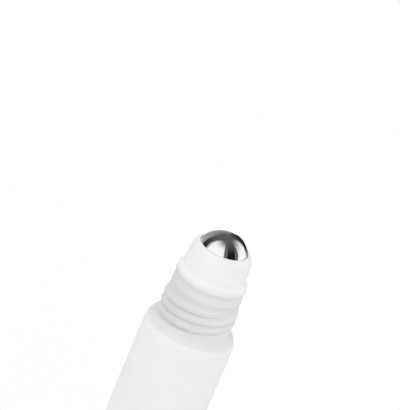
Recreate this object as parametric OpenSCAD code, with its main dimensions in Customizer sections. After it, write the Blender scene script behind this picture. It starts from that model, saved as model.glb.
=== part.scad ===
// Roll on bottle, 10 ml: a plastic bottle, a ball holder that snaps into its neck, and a steel ball.
// Millimetres, +Z up. The origin is the centre of the base, on the surface that the bottle stands on.

/* [Body] */
// Outer diameter of the body
body_d = 19.5; // [18:0.5:24]
// Height of the bottle, from the base to the neck's rim
bottle_h = 61; // [50:0.5:85]
// Wall thickness of the body
body_wall = 1.1; // [0.8:0.1:1.6]
// Thickness of the floor
floor_t = 1.5; // [1:0.1:3]
// Radius of the edge round the base
base_edge_r = 1.2; // [0.6:0.1:2]
// Diameter of the shallow hollow under the base, inside the standing ring
hollow_d = 13; // [10:0.5:14]
// Height of the hollow under the base, at its centre
hollow_h = 0.8; // [0.4:0.1:1.5]

/* [Shoulder and neck] */
// Radius of the round stretch that leads from the body's wall into the shoulder's slope
shoulder_round_r = 3.6; // [2:0.1:4.5]
// How far the shoulder's slope leans in from the upright wall, in degrees
shoulder_turn = 37; // [30:1:50]
// Diameter at the foot of the neck, where the shoulder ends
neck_foot_d = 16.1; // [15.8:0.1:16.4]
// Height of the neck above the shoulder
neck_h = 10.1; // [9.5:0.1:14]
// Diameter of the neck at the root of the closure's thread
root_d = 15; // [14.8:0.1:15.1]
// Diameter of the lower edge of the plain land above the thread
land_d = 15.16; // [15.12:0.02:15.3]
// Distance from the rim to the lower edge of the plain land
land_h = 2.5; // [2:0.1:3.5]
// Diameter of the groove between the land and the collar
groove_d = 14.84; // [14.7:0.02:15]
// Diameter of the collar round the rim
collar_d = 15.2; // [15.2:0.1:15.8]
// Height of the collar round the rim
collar_h = 1.05; // [0.8:0.05:1.4]
// Diameter of the bore in the neck
bore_d = 12.4; // [12:0.1:12.8]

/* [Ball] */
// Diameter of the ball
ball_d = 11.1; // [10.5:0.1:11.5]
// How far the ball stands out above the holder's rim
ball_proud = 3.4; // [2.8:0.1:4]
// Clearance between the ball and its cup
ball_gap = 0.08; // [0.05:0.01:0.1]

/* [Ball holder] */
// Height of the holder above the neck
holder_h = 7.5; // [7:0.1:9]
// Thickness of the cup's wall
cup_wall = 1.05; // [0.8:0.05:1.1]
// Width of the flat lip round the ball
lip_w = 0.2; // [0.1:0.05:0.4]
// Height of the rounding from the lip to the dome's side
dome_round_h = 3.7; // [2:0.1:4]
// Height of the waist, where the dome starts to flare out to the flange
waist_h = 1.95; // [1.5:0.05:3]
// Height of the flange's upright edge
flange_t = 0.75; // [0.5:0.05:1.3]
// How far the flange's edge stands back from the neck's collar
flange_back = 0.05; // [0:0.05:0.3]
// Radius that rounds the flange's lower corner
flange_round_r = 0.1; // [0.1:0.05:0.4]
// Length of the plug inside the neck
plug_l = 7.5; // [6:0.1:9]
// Wall thickness of the plug
plug_wall = 0.9; // [0.7:0.05:1.1]
// How far the plug's sealing beads stand out
bead_h = 0.2; // [0.1:0.05:0.3]
// Height of one sealing bead
bead_w = 1.1; // [0.8:0.1:1.5]
// Number of sealing beads
bead_n = 2; // [1:1:3]
// Clearance between the sealing beads and the bore
plug_gap = 0.04; // [0.02:0.01:0.08]
// Diameter of the feed hole in the cup
feed_d = 4.4; // [3:0.1:5]
// Number of feed channels in the cup
channel_n = 4; // [3:1:6]
// Width of a feed channel
channel_w = 0.8; // [0.5:0.1:1.2]
// Depth of a feed channel
channel_depth = 0.35; // [0.2:0.05:0.5]

/* [Hidden] */
$fn = 120;

// Steps in one curve of an outline, and in a long one
curve_n = 8;
long_curve_n = 14;
// How far a cut runs past the face that it opens
overrun = 0.5;

body_r = body_d / 2;
inner_r = body_r - body_wall;
neck_foot_r = neck_foot_d / 2;
root_r = root_d / 2;
land_r = land_d / 2;
groove_r = groove_d / 2;
collar_r = collar_d / 2;
bore_r = bore_d / 2;

// The shoulder: a round stretch that ends at slope_r, then a straight slope in to the neck's foot
slope_r = body_r - shoulder_round_r * (1 - cos(shoulder_turn));
shoulder_h = shoulder_round_r * sin(shoulder_turn) + (slope_r - neck_foot_r) / tan(shoulder_turn);

// Heights of the bottle
rim_z = bottle_h;
shoulder_top = rim_z - neck_h;
body_h = shoulder_top - shoulder_h;
land_z = rim_z - land_h;
// Height of the plain foot between the shoulder and the thread's root
foot_h = 0.5;
// Height of the slope between two diameters of the neck
step_h = 0.25;
// Radius of the rim's edges
rim_edge_r = 0.15;
// Height of the curve that leads from the bore out to the body's inner wall
throat_h = 3.2;
// Radius of the inner edge of the floor
floor_edge_r = 1.8;

// The ball and its cup
ball_r = ball_d / 2;
ball_z = rim_z + holder_h + ball_proud - ball_r;
cup_r = ball_r + ball_gap;
lip_z = rim_z + holder_h;
lip_in_r = sqrt(pow(cup_r, 2) - pow(lip_z - ball_z, 2));
lip_out_r = lip_in_r + lip_w;
dome_r = cup_r + cup_wall;

// The holder's flange and plug
flange_r = collar_r - flange_back;
bead_r = bore_r - plug_gap;
plug_r = bead_r - bead_h;
plug_in_r = plug_r - plug_wall;
plug_z = rim_z - plug_l;
// Height of the plug's tapered tip
plug_tip_h = 0.8;
// How far the tip tapers in
plug_tip_in = 0.3;
// Distance between the middles of two sealing beads
bead_pitch = 2;
// Distance from the neck's rim to the middle of the first bead
bead_first = 1.8;
// How far the plug's hollow reaches above the neck's rim, round the cup
hollow_rise = 0.6;

// Angles of a feed channel below the ball's equator: from the feed hole up to its shallow end
channel_low = 80;
channel_high = 12;

// Points of an ellipse's arc round [x, z], from angle a0 to angle a1
function arc(x, z, rx, rz, a0, a1, n) =
    [for (i = [0:n]) let (a = a0 + (a1 - a0) * i / n) [x + rx * cos(a), z + rz * sin(a)]];

// Points of an S curve from [r0, z0] to [r1, z1] that starts and ends upright
function s_curve(r0, z0, r1, z1, n) =
    [for (i = [0:n]) [r0 + (r1 - r0) * (1 - cos(180 * i / n)) / 2, z0 + (z1 - z0) * i / n]];

// Points of a shallow dome over the axis, from its foot at radius r up to height h at the centre
function dome(r, z, h, n) = [for (i = [0:n]) let (x = r * (1 - i / n)) [x, z + h * (1 - pow(x / r, 2))]];

function reversed(points) = [for (i = [len(points) - 1:-1:0]) points[i]];

// Outside of the bottle, from the centre of the base up to the rim
bottle_outside = concat(
    reversed(dome(hollow_d / 2, 0, hollow_h, curve_n)),
    arc(body_r - base_edge_r, base_edge_r, base_edge_r, base_edge_r, -90, 0, curve_n),
    arc(body_r - shoulder_round_r, body_h, shoulder_round_r, shoulder_round_r, 0, shoulder_turn, long_curve_n),
    [[neck_foot_r, shoulder_top], [neck_foot_r, shoulder_top + foot_h]],
    [[root_r, shoulder_top + foot_h + step_h]],
    [[root_r, land_z - step_h], [land_r, land_z]],
    [[groove_r, rim_z - collar_h - step_h], [collar_r, rim_z - collar_h]],
    arc(collar_r - rim_edge_r, rim_z - rim_edge_r, rim_edge_r, rim_edge_r, 0, 90, curve_n)
);

// Inside of the bottle, from the rim down to the centre of the floor
bottle_inside = concat(
    arc(bore_r + rim_edge_r, rim_z - rim_edge_r, rim_edge_r, rim_edge_r, 90, 180, curve_n),
    arc(bore_r, body_h, inner_r - bore_r, throat_h, 90, 0, long_curve_n),
    arc(inner_r - floor_edge_r, floor_t + floor_edge_r, floor_edge_r, floor_edge_r, 0, -90, curve_n),
    dome(hollow_d / 2, floor_t, hollow_h, curve_n)
);

module bottle() {
    color("white") rotate_extrude() polygon(concat(bottle_outside, bottle_inside));
}

// One sealing bead, a low round ridge on the plug
function bead(i) = let (z = rim_z - bead_first - i * bead_pitch)
    arc(plug_r, z, bead_h, bead_w / 2, 90, -90, curve_n);

// Outside of the holder, from the lip down over the dome, the flange and the plug
holder_outside = concat(
    arc(lip_out_r, lip_z - dome_round_h, dome_r - lip_out_r, dome_round_h, 90, 0, long_curve_n),
    s_curve(dome_r, rim_z + waist_h, flange_r, rim_z + flange_t, long_curve_n),
    arc(flange_r - flange_round_r, rim_z + flange_round_r, flange_round_r, flange_round_r, 0, -90, curve_n),
    [[plug_r, rim_z]],
    [for (i = [0:bead_n - 1]) each bead(i)],
    [[plug_r, plug_z + plug_tip_h], [plug_r - plug_tip_in, plug_z]],
    [[0, plug_z], [0, lip_z]]
);

// Hollow of the plug, which leaves the cup's wall standing inside it
module plug_hollow() {
    difference() {
        translate([0, 0, plug_z - overrun]) cylinder(r = plug_in_r, h = plug_l + hollow_rise + overrun);
        translate([0, 0, ball_z]) sphere(r = dome_r);
    }
}

// One groove along the cup, which lets the liquid past the ball's seat
module feed_channel() {
    translate([0, 0, ball_z]) rotate([90, 0, 0]) rotate([0, 0, -channel_low])
        rotate_extrude(angle = channel_low - channel_high)
            translate([cup_r - overrun, -channel_w / 2]) square([channel_depth + overrun, channel_w]);
}

module ball_holder() {
    color("whitesmoke") difference() {
        rotate_extrude() polygon(holder_outside);
        plug_hollow();
        translate([0, 0, ball_z]) sphere(r = cup_r);
        translate([0, 0, plug_z]) cylinder(d = feed_d, h = ball_z - plug_z);
        for (i = [0:channel_n - 1]) rotate([0, 0, i * 360 / channel_n]) feed_channel();
    }
}

module roller_ball() {
    color("silver") translate([0, 0, ball_z]) sphere(r = ball_r);
}

bottle();
ball_holder();
roller_ball();
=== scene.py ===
"""Roll on bottle: the bottle, its ball holder and its steel ball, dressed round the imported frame."""

import math

import bpy
from mathutils import Matrix, Vector


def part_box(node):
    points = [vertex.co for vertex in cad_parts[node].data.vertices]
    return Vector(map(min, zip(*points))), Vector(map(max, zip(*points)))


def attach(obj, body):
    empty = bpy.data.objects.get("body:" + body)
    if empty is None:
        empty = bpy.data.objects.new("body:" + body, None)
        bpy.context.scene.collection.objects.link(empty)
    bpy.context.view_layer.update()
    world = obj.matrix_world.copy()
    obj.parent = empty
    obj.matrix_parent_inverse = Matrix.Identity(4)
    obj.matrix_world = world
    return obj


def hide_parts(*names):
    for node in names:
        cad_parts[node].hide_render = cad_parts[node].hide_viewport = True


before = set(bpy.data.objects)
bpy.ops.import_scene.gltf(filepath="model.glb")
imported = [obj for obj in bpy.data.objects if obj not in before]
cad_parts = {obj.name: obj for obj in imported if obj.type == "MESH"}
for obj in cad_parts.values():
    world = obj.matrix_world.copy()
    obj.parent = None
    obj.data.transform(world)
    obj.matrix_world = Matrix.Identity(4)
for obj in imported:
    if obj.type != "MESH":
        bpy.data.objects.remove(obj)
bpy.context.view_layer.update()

# Every size below is in millimetres, and the meshes are scaled to metres when they are made
MM = 0.001


def reach(node):
    """The radius that a round node keeps to on all four sides."""
    low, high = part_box(node)
    return min(-low.x, -low.y, high.x, high.y) / MM


# Sizes that the frame gives
body_r = reach("bottle")
rim_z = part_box("bottle")[1].z / MM
flange_r = reach("ball_holder")
plug_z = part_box("ball_holder")[0].z / MM
lip_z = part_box("ball_holder")[1].z / MM
ball_r = reach("roller_ball")
ball_z = (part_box("roller_ball")[0].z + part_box("roller_ball")[1].z) / 2 / MM

# Sizes of the bottle, the same as in the frame's solid
body_wall = 1.1
floor_t = 1.5
base_edge_r = 1.2
hollow_r = 6.5
hollow_h = 0.8
shoulder_round_r = 3.6
shoulder_turn = math.radians(37)
neck_foot_r = 8.05
neck_h = 10.1
root_r = 7.5
land_r = 7.58
land_h = 2.5
groove_r = 7.42
collar_r = 7.6
bore_r = 6.2
throat_h = 3.2
floor_edge_r = 1.8
# Softer than in the solid, as the photograph shows them: the steps under the land and under the collar, which
# leave the collar only a narrow upright band, the rim's edges and the corner between the slope and the neck
land_step_h = 0.8
collar_step_h = 1.0
collar_h = 0.12
rim_edge_r = 0.1
foot_blend = 0.2

# The screw thread, with heights counted down from the rim
thread_lead = 4.0
thread_starts = 2
thread_pitch = thread_lead / thread_starts
crest_r = 8.03
# Height of the first start's lower edge at the front
thread_z = rim_z - 5.7
# The bearing at which the first start begins, its turns, and the bearings over which it rises and runs out
thread_begin = 41.5
thread_turns = 1.31
thread_fade_in = 26
thread_fade_out = 60
# Shape of one turn, as heights above its lower edge: its round underside, its crest and its upper flank
under_h = 0.8
crest_top = 1.0
flank_top = 1.8
# The shallow gutter that the lowest turn leaves in the shoulder's slope
gutter_h = 0.35
gutter_depth = 0.65
# The fine notch along a turn's lower edge, where the turn stands clear of the slope
notch_half = 0.32
notch_depth = 0.22
slope_clear = 0.25
# On the right, the lowest turn runs this much higher than its lead. The lift comes and goes over these
# bearings, and over these heights from the turn's lower edge
low_lift = 0.3
lift_bearings = ((0, 45), (150, 100))
lift_heights = ((-0.9, -0.3), (1.95, 0.1))

# Sizes of the ball holder, the same as in the frame's solid
cup_gap = 0.08
cup_r = ball_r + cup_gap
cup_wall = 1.05
dome_r = cup_r + cup_wall
lip_w = 0.2
dome_round_h = 3.7
waist_h = 1.95
flange_t = 0.75
flange_round_r = 0.1
plug_r = 5.96
plug_in_r = 5.06
plug_tip_h = 0.8
plug_tip_in = 0.3
bead_h = 0.2
bead_half = 0.55
bead_drops = (1.8, 3.8)
hollow_rise = 0.6
feed_r = 2.2
channels = 4
channel_half = 0.4
channel_depth = 0.35
channel_high = -12
# Finer than in the solid: the gap between the lip and the ball, the lip's inner edge, and the soft width of a
# channel's edge and the angle over which its end fades
lip_gap = 0.015
lip_edge_r = 0.04
channel_edge = 0.1
channel_fade = 1

# Steps round the axis
COLUMNS = 240
# How far from a corner an extra row holds it crisp, and the most that this is of a stretch
support = 0.12
support_share = 0.3
# Rows of the thread's mesh in a turn's underside and in the rest of a pitch
under_rows = 14
other_rows = 20
# How far the first and last of these rows stay from the rings below and above them
zone_margin = 0.02
# Radii below this are on the axis, and points closer than this are the same
on_axis = 1e-6
same_point = 1e-4


def smooth(low, high, value):
    """0 below low, 1 above high and an even S between; low may be the larger one."""
    t = min(1.0, max(0.0, (value - low) / (high - low)))
    return t * t * (3 - 2 * t)


def soft_max(a, b, width):
    """The larger of two values, with the corner between them rounded."""
    return (a + b + math.sqrt((a - b) ** 2 + width**2)) / 2


def arc(r, z, across, along, first, last, steps):
    """Points of an ellipse's arc round (r, z), from one angle to another."""
    angles = [math.radians(first + (last - first) * i / steps) for i in range(steps + 1)]
    return [(r + across * math.cos(a), z + along * math.sin(a)) for a in angles]


def s_curve(start, end, steps):
    """Points of an S curve that starts and ends upright."""
    across, along = end[0] - start[0], end[1] - start[1]
    shares = [(1 - math.cos(math.pi * i / steps)) / 2 for i in range(steps + 1)]
    return [(start[0] + across * share, start[1] + along * i / steps) for i, share in enumerate(shares)]


def held(start, end):
    """Both ends of a straight stretch, each with an extra row close to it."""
    length = math.dist(start, end)
    share = min(support / length, support_share)
    steps = (0, share, 1 - share, 1)
    return [(start[0] + (end[0] - start[0]) * s, start[1] + (end[1] - start[1]) * s) for s in steps]


def dome(radius, z, height, steps):
    """Points from the centre of a shallow dome out to its foot."""
    radii = [radius * i / steps for i in range(steps + 1)]
    return [(r, z + height * (1 - (r / radius) ** 2)) for r in radii]


class Turned:
    """A mesh built ring by ring round the axis. Bearing 0 is the front, and bearings grow to the right."""

    def __init__(self):
        self.points = []
        self.faces = []

    def point(self, bearing, r, z):
        a = math.radians(bearing)
        self.points.append((r * math.sin(a) * MM, -r * math.cos(a) * MM, z * MM))
        return len(self.points) - 1

    def ring(self, r, z, shape=None):
        """One ring, or a single point on the axis. A shape gives the radius and height for each bearing."""
        if r < on_axis:
            return [self.point(0, 0, z)]
        bearings = [360 * c / COLUMNS for c in range(COLUMNS)]
        return [self.point(b, *(shape(b, r, z) if shape else (r, z))) for b in bearings]

    def band(self, low, high):
        """Faces between two rings that follow each other along the outline."""
        for c in range(COLUMNS):
            after = (c + 1) % COLUMNS
            if len(low) == 1:
                self.faces.append((low[0], high[after], high[c]))
            elif len(high) == 1:
                self.faces.append((low[c], low[after], high[0]))
            else:
                self.faces.append((low[c], low[after], high[after], high[c]))

    def skin(self, outline, last=None, shape=None):
        """Rings through an outline, tied to an earlier ring if one is given."""
        for r, z in outline:
            ring = self.ring(r, z, shape)
            if last is not None:
                self.band(last, ring)
            last = ring
        return last

    def made(self, name):
        mesh = bpy.data.meshes.new(name)
        mesh.from_pydata(self.points, [], self.faces)
        mesh.shade_smooth()
        mesh.validate()
        piece = bpy.data.objects.new(name, mesh)
        bpy.context.scene.collection.objects.link(piece)
        return piece


def without_doubles(outline):
    """The outline without points that lie on the one before."""
    kept = [outline[0]]
    for point in outline[1:]:
        if math.dist(point, kept[-1]) > same_point:
            kept.append(point)
    return kept


# The shoulder: a round stretch leads from the wall into a straight slope, which ends at the neck's foot

shoulder_top = rim_z - neck_h
slope_r = body_r - shoulder_round_r * (1 - math.cos(shoulder_turn))
slope_z = shoulder_top - (slope_r - neck_foot_r) / math.tan(shoulder_turn)
body_h = slope_z - shoulder_round_r * math.sin(shoulder_turn)
# The rows that follow the thread end here, part way down the slope and at the foot of the land
zone_drop = 0.7
zone_low = shoulder_top - zone_drop
zone_high = rim_z - land_h - land_step_h


def plain_radius(z):
    """The neck without its thread, and the slope below it."""
    return soft_max(root_r, neck_foot_r - (z - shoulder_top) * math.tan(shoulder_turn), foot_blend)


def turn_shape(height):
    """How far a turn stands out at a height above its lower edge, from 0 to 1."""
    if height <= under_h:
        return math.sqrt(1 - (1 - height / under_h) ** 2)
    return smooth(flank_top, crest_top, height)


def lifted(bearing, z):
    """The height of a row that would lie at z if the lowest turn kept to its lead."""
    above = z - (thread_z + thread_lead * (bearing - 360) / 360)
    lift = low_lift
    for low, high in lift_bearings:
        lift *= smooth(low, high, bearing)
    for low, high in lift_heights:
        lift *= smooth(low, high, above)
    return z + lift


def neck_radius(bearing, z):
    """The neck with the turns of its thread, for a row that would lie at z without the lift."""
    plain = plain_radius(lifted(bearing, z))
    whole = 360 * thread_turns
    turns = []
    for start in range(thread_starts):
        first = thread_begin + start * 360 / thread_starts - bearing
        for extra in range(-1, 3):
            along = first + 360 * extra
            if not 0 <= along <= whole + thread_fade_out:
                continue
            height = z - (thread_z + thread_lead * (thread_begin - along) / 360)
            if not -gutter_h <= height <= flank_top:
                continue
            strength = smooth(0, thread_fade_in, along) * (1 - smooth(whole, whole + thread_fade_out, along))
            gutter = smooth(-gutter_h, 0, height) * smooth(flank_top, 0, height)
            foot = max(root_r, plain - gutter_depth * strength * gutter)
            stands = turn_shape(height) * strength if height > 0 else 0.0
            away = min(1.0, abs(height) / notch_half)
            notch = notch_depth * strength * (1 - away**2) ** 2
            notch *= smooth(root_r + slope_clear, root_r, plain)
            turns.append(foot + max(0.0, crest_r - foot) * stands - notch)
    return max(turns) if turns else plain


def turn_rows():
    """Heights of the rows within one pitch, close together at the turn's lower edge."""
    under = [under_h * (1 - math.cos(math.pi / 2 * i / under_rows)) for i in range(under_rows)]
    return under + [under_h + (thread_pitch - under_h) * i / other_rows for i in range(other_rows)]


def neck_zone(mesh, low, high):
    """The threaded part of the neck, between two rings, with rows that climb as the thread does."""
    offsets = turn_rows()
    per_turn = len(offsets) * thread_starts
    columns = []
    for c in range(COLUMNS):
        bearing = 360 * c / COLUMNS
        lift = thread_z + thread_lead * bearing / 360
        rows = {}
        first_turn = math.floor((zone_low - lift) / thread_pitch)
        last_turn = math.ceil((zone_high - lift) / thread_pitch)
        for turn in range(first_turn, last_turn + 1):
            for i, offset in enumerate(offsets):
                z = lift + turn * thread_pitch + offset
                if zone_low + zone_margin < z < zone_high - zone_margin:
                    point = mesh.point(bearing, neck_radius(bearing, z), lifted(bearing, z))
                    rows[turn * len(offsets) + i] = point
        columns.append(rows)
    for c in range(COLUMNS):
        after = (c + 1) % COLUMNS
        left, right = columns[c], columns[after]
        if after == 0:
            right = {key - per_turn: point for key, point in right.items()}
        shared = sorted(set(left) & set(right))
        for below, above in zip(shared, shared[1:]):
            mesh.faces.append((left[below], right[below], right[above], left[above]))
        bottom, top = shared[0], shared[-1]
        low_right = [right[k] for k in sorted(right) if k < bottom]
        low_left = [left[k] for k in sorted(left, reverse=True) if k < bottom]
        mesh.faces.append((low[c], low[after], *low_right, right[bottom], left[bottom], *low_left))
        high_right = [right[k] for k in sorted(right) if k > top]
        high_left = [left[k] for k in sorted(left, reverse=True) if k > top]
        mesh.faces.append((left[top], right[top], *high_right, high[after], high[c], *high_left))


def make_bottle():
    mesh = Turned()
    inner_r = body_r - body_wall
    round_r = shoulder_round_r
    outside = dome(hollow_r, 0, hollow_h, steps=12)
    outside += held((hollow_r, 0), (body_r - base_edge_r, 0))
    outside += arc(body_r - base_edge_r, base_edge_r, base_edge_r, base_edge_r, -90, 0, steps=16)
    outside += held((body_r, base_edge_r), (body_r, body_h))
    turn = math.degrees(shoulder_turn)
    outside += arc(body_r - round_r, body_h, round_r, round_r, 0, turn, steps=24)
    outside += held((slope_r, slope_z), (plain_radius(zone_low), zone_low))
    low = mesh.skin(without_doubles(outside)[:-1])
    zone_foot = mesh.ring(plain_radius(zone_low), zone_low)
    mesh.band(low, zone_foot)

    zone_head = mesh.ring(root_r, zone_high)
    neck_zone(mesh, zone_foot, zone_head)
    land_z = rim_z - land_h
    collar_z = rim_z - collar_h
    head = s_curve((root_r, zone_high), (land_r, land_z), steps=12)[1:]
    head += held((land_r, land_z), (groove_r, collar_z - collar_step_h))
    head += s_curve((groove_r, collar_z - collar_step_h), (collar_r, collar_z), steps=8)
    head += held((collar_r, collar_z), (collar_r, rim_z - rim_edge_r))
    edge_z = rim_z - rim_edge_r
    head += arc(collar_r - rim_edge_r, edge_z, rim_edge_r, rim_edge_r, 0, 90, steps=6)
    head += held((collar_r - rim_edge_r, rim_z), (bore_r + rim_edge_r, rim_z))
    head += arc(bore_r + rim_edge_r, edge_z, rim_edge_r, rim_edge_r, 90, 180, steps=6)
    head += held((bore_r, edge_z), (bore_r, body_h + throat_h))
    head += arc(bore_r, body_h, inner_r - bore_r, throat_h, 90, 0, steps=20)
    head += held((inner_r, body_h), (inner_r, floor_t + floor_edge_r))
    flat_r = inner_r - floor_edge_r
    head += arc(flat_r, floor_t + floor_edge_r, floor_edge_r, floor_edge_r, 0, -90, steps=12)
    head += held((flat_r, floor_t), (hollow_r, floor_t))
    head += reversed(dome(hollow_r, floor_t, hollow_h, steps=12))
    mesh.skin(without_doubles(head), zone_head)
    return mesh.made("bottle_shell")


def channel_shape(bearing, r, z):
    """A point of the cup, sunk where one of its feed channels runs."""
    height = math.degrees(math.asin(max(-1.0, min(1.0, (z - ball_z) / cup_r))))
    depth = 0.0
    for i in range(channels):
        away = math.radians(bearing - 360 * i / channels)
        aside = abs(r * math.sin(away)) if math.cos(away) > 0 else cup_r
        inside = smooth(channel_half + channel_edge / 2, channel_half - channel_edge / 2, aside)
        depth = max(depth, inside)
    depth *= channel_depth * smooth(channel_high + channel_fade, channel_high - channel_fade, height)
    share = 1 + depth / cup_r
    return r * share, ball_z + (z - ball_z) * share


def make_holder():
    # The lip is narrowest at the foot of its inner edge, and keeps its gap to the ball there
    edge_z = lip_z - lip_edge_r
    lip_in_r = math.sqrt((ball_r + lip_gap) ** 2 - (edge_z - ball_z) ** 2)
    lip_out_r = lip_in_r + lip_w
    ceiling_z = rim_z + hollow_rise
    ceiling_r = math.sqrt(dome_r**2 - (ball_z - ceiling_z) ** 2)
    under_first = -math.degrees(math.acos(ceiling_r / dome_r))
    under_last = -math.degrees(math.acos(feed_r / dome_r))
    cup_first = -math.degrees(math.acos(feed_r / cup_r))
    cup_last = math.degrees(math.asin((edge_z - ball_z) / cup_r))

    outline = arc(lip_in_r + lip_edge_r, edge_z, lip_edge_r, lip_edge_r, 180, 90, steps=5)
    outline += arc(lip_out_r, lip_z - dome_round_h, dome_r - lip_out_r, dome_round_h, 90, 0, steps=32)
    outline += held((dome_r, lip_z - dome_round_h), (dome_r, rim_z + waist_h))
    outline += s_curve((dome_r, rim_z + waist_h), (flange_r, rim_z + flange_t), steps=24)
    flange_low = rim_z + flange_round_r
    outline += held((flange_r, rim_z + flange_t), (flange_r, flange_low))
    flat_r = flange_r - flange_round_r
    outline += arc(flat_r, flange_low, flange_round_r, flange_round_r, 0, -90, steps=6)
    outline += held((flat_r, rim_z), (plug_r, rim_z))
    for drop in bead_drops:
        outline += held(outline[-1], (plug_r, rim_z - drop + bead_half))
        outline += arc(plug_r, rim_z - drop, bead_h, bead_half, 90, -90, steps=12)
    tip_r = plug_r - plug_tip_in
    outline += held(outline[-1], (plug_r, plug_z + plug_tip_h))
    outline += held((plug_r, plug_z + plug_tip_h), (tip_r, plug_z))
    outline += held((tip_r, plug_z), (plug_in_r, plug_z))
    outline += held((plug_in_r, plug_z), (plug_in_r, ceiling_z))
    outline += held((plug_in_r, ceiling_z), (ceiling_r, ceiling_z))
    outline += arc(0, ball_z, dome_r, dome_r, under_first, under_last, steps=12)
    mesh = Turned()
    first = mesh.ring(*outline[0])
    last = mesh.skin(without_doubles(outline)[1:], first)
    cup = arc(0, ball_z, cup_r, cup_r, cup_first, cup_last, steps=64)
    last = mesh.skin(cup, last, channel_shape)
    mesh.band(last, first)
    return mesh.made("holder_shell")


def make_ball():
    mesh = Turned()
    mesh.skin([(abs(r), z) for r, z in arc(0, ball_z, ball_r, ball_r, -90, 90, steps=180)])
    return mesh.made("steel_ball")


# Materials


class Nodes:
    """Short calls for the nodes of one material, or of the world."""

    def __init__(self, owner):
        owner.use_nodes = True
        self.tree = owner.node_tree
        self.tree.nodes.clear()

    def add(self, kind, **settings):
        node = self.tree.nodes.new(kind)
        for name, value in settings.items():
            setattr(node, name, value)
        return node

    def join(self, source, target):
        self.tree.links.new(source, target)

    def math(self, operation, first, second=None):
        node = self.add("ShaderNodeMath", operation=operation)
        for socket, value in zip(node.inputs, (first, second)):
            if isinstance(value, bpy.types.NodeSocket):
                self.join(value, socket)
            elif value is not None:
                socket.default_value = value
        return node.outputs["Value"]

    def ramp(self, value, low, high, low_out=0.0, high_out=1.0):
        """An even S from low_out to high_out, while the value goes from low to high."""
        node = self.add("ShaderNodeMapRange", interpolation_type="SMOOTHSTEP")
        self.join(value, node.inputs["Value"])
        for name, number in zip(("From Min", "From Max", "To Min", "To Max"), (low, high, low_out, high_out)):
            node.inputs[name].default_value = number
        return node.outputs["Result"]

    def rise(self, length, low, high):
        """The same from 0 to 1 for a length on the object, with its ends in millimetres."""
        return self.ramp(length, low * MM, high * MM)

    def axes(self, place):
        """The X, Y and Z of a place."""
        split = self.add("ShaderNodeSeparateXYZ")
        self.join(place, split.inputs["Vector"])
        return [split.outputs[axis] for axis in "XYZ"]

    def object_place(self):
        return self.add("ShaderNodeTexCoord").outputs["Object"]

    def seen_directly(self):
        """1 for what the camera sees, straight or by way of metal or glass, and 0 for light on the object."""
        path = self.add("ShaderNodeLightPath")
        direct = self.math("MAXIMUM", path.outputs["Is Camera Ray"], path.outputs["Is Glossy Ray"])
        return self.math("MAXIMUM", direct, path.outputs["Is Transmission Ray"])

    def finish(self, shader, kind="ShaderNodeOutputMaterial"):
        self.join(shader, self.add(kind).inputs["Surface"])

    def noise(self, place, scale, detail=2.0):
        node = self.add("ShaderNodeTexNoise")
        self.join(place, node.inputs["Vector"])
        node.inputs["Scale"].default_value = scale
        node.inputs["Detail"].default_value = detail
        return node.outputs["Fac"]

    def mix(self, share, first, second):
        node = self.add("ShaderNodeMix", data_type="RGBA")
        for socket, value in ((node.inputs[0], share), (node.inputs[6], first), (node.inputs[7], second)):
            if isinstance(value, bpy.types.NodeSocket):
                self.join(value, socket)
            else:
                socket.default_value = value
        return node.outputs[2]

    def bump(self, height, strength, distance, normal=None):
        node = self.add("ShaderNodeBump")
        node.inputs["Strength"].default_value = strength
        node.inputs["Distance"].default_value = distance
        self.join(height, node.inputs["Height"])
        if normal is not None:
            self.join(normal, node.inputs["Normal"])
        return node.outputs["Normal"]


def linear(level):
    """The linear value of a grey from 0 to 255 as it shows on a screen."""
    share = level / 255
    return share / 12.92 if share <= 0.04045 else ((share + 0.055) / 1.055) ** 2.4


def grey(level, tint=(1.0, 1.0, 1.0)):
    return (*(linear(level) * t for t in tint), 1.0)


# The ends between which a noise's values mostly lie, and closer ones, which make its clouds stand out more
noise_ends = (0.3, 0.7)
cloud_ends = (0.35, 0.65)
# The plastic: how far light passes into it, in metres for red, green and blue, and how much of it does
plastic_depth = (0.0005, 0.00045, 0.0004)
plastic_glow = 0.06
# Its gloss, and how much its roughness varies
plastic_ior = 1.5
plastic_gloss = 0.1
roughness_spread = 0.04
# Its faint clouds, its mould's broad waves and its grain: scale or size, and depth of the bump in metres
cloud_scale = 140.0
cloud_shade = (0.985, 0.985, 0.985, 1)
wave_scale = 220.0
wave_strength = 0.25
wave_depth = 0.00002
grain_strength = 0.35
grain_depth = 0.000006
bottle_roughness = 0.5
bottle_grain = 0.00016
holder_roughness = 0.45
holder_grain = 0.00022


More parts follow.
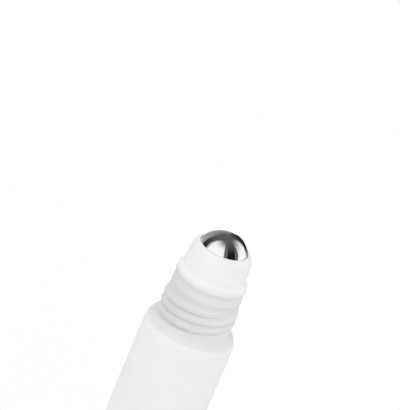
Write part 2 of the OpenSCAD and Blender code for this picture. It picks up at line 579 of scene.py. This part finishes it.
def moulded_plastic(name, tones, roughness, grain):
    """White moulded plastic: tones gives its colour from the surface's place, grain its texture's size in
    metres."""
    material = bpy.data.materials.new(name)
    nodes = Nodes(material)
    place = nodes.object_place()
    shader = nodes.add("ShaderNodeBsdfPrincipled")
    shader.inputs["IOR"].default_value = plastic_ior
    shader.inputs["Specular IOR Level"].default_value = plastic_gloss
    shader.inputs["Subsurface Weight"].default_value = plastic_glow
    shader.inputs["Subsurface Radius"].default_value = plastic_depth
    shader.inputs["Subsurface Scale"].default_value = 1.0

    cloud = nodes.noise(place, cloud_scale, detail=3.0)
    colour = tones(nodes, place)
    shade = nodes.mix(nodes.ramp(cloud, *cloud_ends), cloud_shade, (1, 1, 1, 1))
    product = nodes.add("ShaderNodeMix", data_type="RGBA", blend_type="MULTIPLY")
    product.inputs[0].default_value = 1.0
    nodes.join(colour, product.inputs[6])
    nodes.join(shade, product.inputs[7])
    nodes.join(product.outputs[2], shader.inputs["Base Color"])

    fine = nodes.noise(place, 1 / grain)
    rough = nodes.ramp(fine, *noise_ends, roughness - roughness_spread, roughness + roughness_spread)
    nodes.join(rough, shader.inputs["Roughness"])
    waves = nodes.bump(nodes.noise(place, wave_scale, detail=1.0), wave_strength, wave_depth)
    nodes.join(nodes.bump(fine, grain_strength, grain_depth, waves), shader.inputs["Normal"])
    nodes.finish(shader.outputs["BSDF"])
    return material


# The coated body is whiter than the bare neck, and its coat ends on the shoulder; painted shade makes the
# coat a shade greyer over the last stretch below its edge
coat_z = rim_z - 12.15
coat_blur = 0.3
coat_edge_shade_h = 1.6
coat_tint = (1.0, 1.0, 1.003)
body_tone = grey(246, coat_tint)
coat_edge_shade_tone = grey(242, coat_tint)
# Painted shade makes the bare neck darkest between the shoulder and the land, and darkens the shoulder
# towards the neck; painted light makes the neck a shade lighter on its right, and lighter on the land, most
# on the land's right
neck_tint = (1.0, 1.0, 1.004)
shoulder_low_tone = grey(230, neck_tint)
shoulder_top_shade_tone = grey(225, neck_tint)
neck_left_shade_tone = grey(220, neck_tint)
neck_right_light_tone = grey(228, neck_tint)
land_light_tone = grey(233, neck_tint)
# Heights over which the shoulder's tone and the land's painted light give way to the neck's, and where the
# land's painted light starts at the left
shoulder_tone_ends = (shoulder_top + 0.4, shoulder_top - 0.2)
land_light_ends = (rim_z - land_h - 0.6, rim_z - land_h + 0.2)
land_light_left = -1.6 * root_r
# Painted shade makes the dome a little greyer near the ball, standing in for the ball showing through its
# thinner wall there, and a painted highlight makes its lip bright
wall_scale = 90.0
wall_tones = (grey(248), grey(247))
waist_tone = grey(242)
dome_shade_tone = grey(239.5)
lip_highlight_tone = grey(250)
waist_tone_ends = (rim_z + waist_h + 0.6, rim_z + waist_h - 0.2)
dome_shade_ends = (lip_z - 4.0, lip_z - 0.6)
lip_highlight_ends = (lip_z - 0.08, lip_z - 0.03)
# The dome's painted shade is uneven: its scale and its least share
dome_scale = 180.0
dome_least = 0.6


def bottle_tones(nodes, place):
    x, _, height = nodes.axes(place)
    # Painted light: the neck is lighter on its right
    neck = nodes.mix(nodes.rise(x, -root_r, root_r), neck_left_shade_tone, neck_right_light_tone)
    # Painted light on the land, growing towards its right
    land = nodes.math("MULTIPLY", nodes.rise(height, *land_light_ends), nodes.rise(x, land_light_left, root_r))
    neck = nodes.mix(land, neck, land_light_tone)
    # Painted shade: the shoulder darkens towards the neck
    shoulder = nodes.mix(nodes.rise(height, coat_z, shoulder_top), shoulder_low_tone, shoulder_top_shade_tone)
    neck = nodes.mix(nodes.rise(height, *shoulder_tone_ends), neck, shoulder)
    # Painted shade: the coat is greyer over the last stretch below its edge
    coat = nodes.mix(nodes.rise(height, coat_z - coat_edge_shade_h, coat_z), body_tone, coat_edge_shade_tone)
    return nodes.mix(nodes.rise(height, coat_z + coat_blur, coat_z - coat_blur), neck, coat)


def holder_tones(nodes, place):
    height = nodes.axes(place)[2]
    wall = nodes.mix(nodes.ramp(nodes.noise(place, wall_scale), *noise_ends), *wall_tones)
    wall = nodes.mix(nodes.rise(height, *waist_tone_ends), wall, waist_tone)
    # Painted shade: the dome greyer near the ball, in uneven patches
    patchy = nodes.ramp(nodes.noise(place, dome_scale), *noise_ends, dome_least, 1.0)
    dome_shade = nodes.math("MULTIPLY", nodes.rise(height, *dome_shade_ends), patchy)
    wall = nodes.mix(dome_shade, wall, dome_shade_tone)
    # Painted highlight along the lip
    return nodes.mix(nodes.rise(height, *lip_highlight_ends), wall, lip_highlight_tone)


# The steel's colour and its fine scratches, which make its gloss a little uneven
steel_cloud_scale = 300.0
steel_colours = ((0.61, 0.615, 0.605, 1), (0.64, 0.64, 0.635, 1))
scratch_scale = 2500.0
steel_roughness = (0.02, 0.05)


def polished_steel():
    """The ball's mirror steel."""
    material = bpy.data.materials.new("polished_steel")
    nodes = Nodes(material)
    place = nodes.object_place()
    shader = nodes.add("ShaderNodeBsdfPrincipled")
    shader.inputs["Metallic"].default_value = 1.0
    cloud = nodes.noise(place, steel_cloud_scale, detail=3.0)
    nodes.join(nodes.mix(cloud, *steel_colours), shader.inputs["Base Color"])
    scratches = nodes.noise(place, scratch_scale)
    nodes.join(nodes.ramp(scratches, *noise_ends, *steel_roughness), shader.inputs["Roughness"])
    nodes.finish(shader.outputs["BSDF"])
    return material


# The pieces

bottle = make_bottle()
satin = moulded_plastic("satin_white_plastic", bottle_tones, bottle_roughness, bottle_grain)
bottle.data.materials.append(satin)
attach(bottle, "bottle")
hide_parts("bottle")

holder = make_holder()
smooth_plastic = moulded_plastic("smooth_white_plastic", holder_tones, holder_roughness, holder_grain)
holder.data.materials.append(smooth_plastic)
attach(holder, "ball_holder")
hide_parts("ball_holder")

ball = make_ball()
ball.data.materials.append(polished_steel())
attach(ball, "roller_ball")
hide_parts("roller_ball")


# The studio


def stage_piece(name, points, faces):
    """A mesh of the studio, which isn't part of the object."""
    mesh = bpy.data.meshes.new(name)
    mesh.from_pydata(points, [], faces)
    piece = bpy.data.objects.new(name, mesh)
    bpy.context.scene.collection.objects.link(piece)
    return piece


# The floor lies just under the base. Its half width and its drop are in metres
floor_half = 3.0
floor_drop = 0.00002
# The object gets its light back from a grey, and the camera sees a white, this share of it by the floor's own
# light, so that the object's shadow is faint
floor_grey = (0.6, 0.6, 0.6, 1)
floor_white = 0.9


def make_floor():
    corners = [(floor_half * i, floor_half * j, -floor_drop) for i, j in ((-1, -1), (1, -1), (1, 1), (-1, 1))]
    floor = stage_piece("floor", corners, [(0, 1, 2, 3)])
    # In reflections the shell below stands for the floor too
    floor.visible_glossy = False
    material = bpy.data.materials.new("pale_floor")
    nodes = Nodes(material)
    direct = nodes.seen_directly()
    matt = nodes.add("ShaderNodeBsdfDiffuse")
    nodes.join(nodes.mix(direct, floor_grey, (1, 1, 1, 1)), matt.inputs["Color"])
    white = nodes.add("ShaderNodeEmission")
    white.inputs["Strength"].default_value = 1.0
    blend = nodes.add("ShaderNodeMixShader")
    nodes.join(nodes.math("MULTIPLY", direct, floor_white), blend.inputs["Fac"])
    nodes.join(matt.outputs["BSDF"], blend.inputs[1])
    nodes.join(white.outputs["Emission"], blend.inputs[2])
    nodes.finish(blend.outputs["Shader"])
    floor.data.materials.append(material)


# The ball shows a dark studio with two white panels, a white floor and a white opening straight behind. All
# of it is drawn on one large shell that only reflections show, with its radius in metres. Its directions are
# in degrees as seen from the ball: the turn to the right, from the front or from straight behind, and the
# rise above the horizon
shell_radius = 1.5
shell_rings = 48
shell_sides = 96
shell_strength = 1.6
# The share of the shell's light that the steel gives back
steel_share = 0.625
horizon_blur = 4
# Tints of the dark walls low and high up, of the haze low and high up, and of the white panels
low_wall_tint = (0.98, 1.0, 0.97)
high_wall_tint = (1.0, 1.02, 0.95)
low_haze_tint = (0.98, 1.0, 1.04)
high_haze_tint = (0.98, 1.0, 1.02)
panel_tint = (0.99, 1.0, 0.985)


def in_steel(level, tint=(1.0, 1.0, 1.0)):
    """The shell's colour that the steel shows as a level from 0 to 255."""
    return (*(linear(level) / (steel_share * shell_strength) * t for t in tint), 1.0)


def angle_of(nodes, side, base):
    return nodes.math("MULTIPLY", nodes.math("ARCTAN2", side, base), math.degrees(1))


def patch(nodes, below, colour, turn, rise, left, right, top):
    """A soft patch of the shell. Left and right give the edge at the horizon, its lean for each degree of
    rise and its blur, and top gives the rises where the patch is gone and where it is whole."""
    edges = []
    for sign, (at, lean, blur) in ((1, left), (-1, right)):
        upright = nodes.math("SUBTRACT", turn, nodes.math("MULTIPLY", rise, lean))
        edges.append(nodes.ramp(upright, at - sign * blur, at + sign * blur))
    inside = nodes.math("MULTIPLY", nodes.math("MULTIPLY", *edges), nodes.ramp(rise, *top))
    return nodes.mix(inside, below, colour)


def studio_colours(nodes, place):
    x, y, z = nodes.axes(place)
    level = nodes.math("SQRT", nodes.math("ADD", nodes.math("MULTIPLY", x, x), nodes.math("MULTIPLY", y, y)))
    rise = angle_of(nodes, z, level)
    front = angle_of(nodes, x, nodes.math("MULTIPLY", y, -1.0))
    back = angle_of(nodes, x, y)

    # The dark walls, and behind at the left a haze in front of them
    low_wall, high_wall = in_steel(20, low_wall_tint), in_steel(87, high_wall_tint)
    seen = nodes.mix(nodes.ramp(rise, -4, 66), low_wall, high_wall)
    low_haze, high_haze = in_steel(146, low_haze_tint), in_steel(91, high_haze_tint)
    haze = nodes.mix(nodes.ramp(rise, 15, 54), low_haze, high_haze)
    seen = patch(nodes, seen, haze, back, rise, left=(-75, 0.46, 3), right=(1.5, 0, 6.5), top=(70, 45))

    # Three upright strips between the two panels: grey, dark and grey
    grey_strip, dark_strip, far_strip = in_steel(103), in_steel(25), in_steel(99)
    seen = patch(nodes, seen, grey_strip, front, rise, left=(0, 0, 5), right=(31, 0, 2), top=(86, 60))
    seen = patch(nodes, seen, dark_strip, front, rise, left=(31, 0, 2), right=(75, 0.46, 9), top=(90, 27))
    seen = patch(nodes, seen, far_strip, front, rise, left=(65.5, 0.22, 2), right=(100, 0.1, 8), top=(69, 36))

    # The large panel at the left and in front, and the narrow one at the right
    panel, narrow = in_steel(247, panel_tint), in_steel(246, panel_tint)
    seen = patch(nodes, seen, panel, front, rise, left=(-72, -0.23, 12), right=(18.5, -0.18, 2), top=(90, 43))
    seen = patch(nodes, seen, narrow, front, rise, left=(82, 0.31, 2), right=(139.5, 0.16, 9), top=(71, 21))

    # The white floor, and the white opening straight behind
    white = (1 / shell_strength, 1 / shell_strength, 1 / shell_strength, 1.0)
    below = (horizon_blur, -horizon_blur)
    seen = patch(nodes, seen, white, front, rise, left=(-140, 0, 8), right=(148, 0, 8), top=below)
    return patch(nodes, seen, in_steel(255), back, rise, left=(-17, 0, 12), right=(6, 0, 4), top=(19, 6))


def make_studio_shell():
    points, faces = [], []
    for i in range(shell_rings + 1):
        height = math.radians(180 * i / shell_rings - 90)
        for j in range(shell_sides):
            turn = math.radians(360 * j / shell_sides)
            level = Vector((math.sin(turn), -math.cos(turn), 0)) * math.cos(height)
            points.append((level + Vector((0, 0, math.sin(height)))) * shell_radius)
    for i in range(shell_rings):
        low, high = i * shell_sides, (i + 1) * shell_sides
        for j in range(shell_sides):
            after = (j + 1) % shell_sides
            faces.append((low + j, low + after, high + after, high + j))
    shell = stage_piece("studio_shell", points, faces)
    shell.location = (0, 0, ball_z * MM)
    shell.visible_camera = False
    shell.visible_diffuse = False
    shell.visible_shadow = False
    shell.visible_transmission = False
    shell.visible_volume_scatter = False
    material = bpy.data.materials.new("studio_shell")
    nodes = Nodes(material)
    light = nodes.add("ShaderNodeEmission")
    light.inputs["Strength"].default_value = shell_strength
    nodes.join(studio_colours(nodes, nodes.object_place()), light.inputs["Color"])
    nodes.finish(light.outputs["Emission"])
    shell.data.materials.append(material)


make_floor()
make_studio_shell()


# The sky as the object's matt surfaces see it: even overhead, and brighter towards the walls, which end at
# wall_top. Each lobe is a soft light round one level direction, and the one in front is the strongest
overhead_level = 0.78
wall_level = 0.24
wall_top = 0.7
wall_blur = 0.05
lobes = (("Y", -1.0, 0.79), ("Y", 1.0, 0.4), ("X", 1.0, 0.55), ("X", -1.0, 0.55))


def make_world():
    world = bpy.data.worlds.new("white_studio")
    bpy.context.scene.world = world
    nodes = Nodes(world)
    direct = nodes.seen_directly()
    x, y, z = nodes.axes(nodes.add("ShaderNodeTexCoord").outputs["Generated"])
    ways = {"X": x, "Y": y}
    walls = wall_level
    for axis, sign, strength in lobes:
        lobe = nodes.math("MAXIMUM", nodes.math("MULTIPLY", ways[axis], sign), 0.0)
        walls = nodes.math("ADD", nodes.math("MULTIPLY", lobe, strength), walls)
    walls = nodes.math("MULTIPLY", walls, nodes.ramp(z, wall_top + wall_blur, wall_top - wall_blur))
    level = nodes.math("ADD", walls, overhead_level)
    level = nodes.math("MULTIPLY", level, nodes.math("SUBTRACT", 1.0, direct))
    sky = nodes.add("ShaderNodeBackground")
    nodes.join(nodes.math("MAXIMUM", direct, level), sky.inputs["Strength"])
    nodes.finish(sky.outputs["Background"], "ShaderNodeOutputWorld")


make_world()

# The camera, which looks down at the neck from in front, turned on its side by the roll
camera_away = 0.6631
camera_above_rim = 0.3053
camera_yaw = math.radians(0.682)
camera_down = math.radians(23.716)
camera_roll = math.radians(22.6)
focal_pixels = 3562.6
picture_height = 410
sensor = 36.0

data = bpy.data.cameras.new("camera")
data.sensor_width = sensor
data.lens = focal_pixels * sensor / picture_height
camera = bpy.data.objects.new("camera", data)
bpy.context.scene.collection.objects.link(camera)
upright = Matrix.Rotation(math.pi / 2, 3, "X")
turn = Matrix.Rotation(camera_yaw, 3, "Z") @ upright @ Matrix.Rotation(-camera_down, 3, "X")
turn = turn @ Matrix.Rotation(camera_roll, 3, "Z")
camera.matrix_world = Matrix.Translation((0, -camera_away, rim_z * MM + camera_above_rim)) @ turn.to_4x4()
bpy.context.scene.camera = camera
bpy.context.scene.view_settings.view_transform = "Standard"
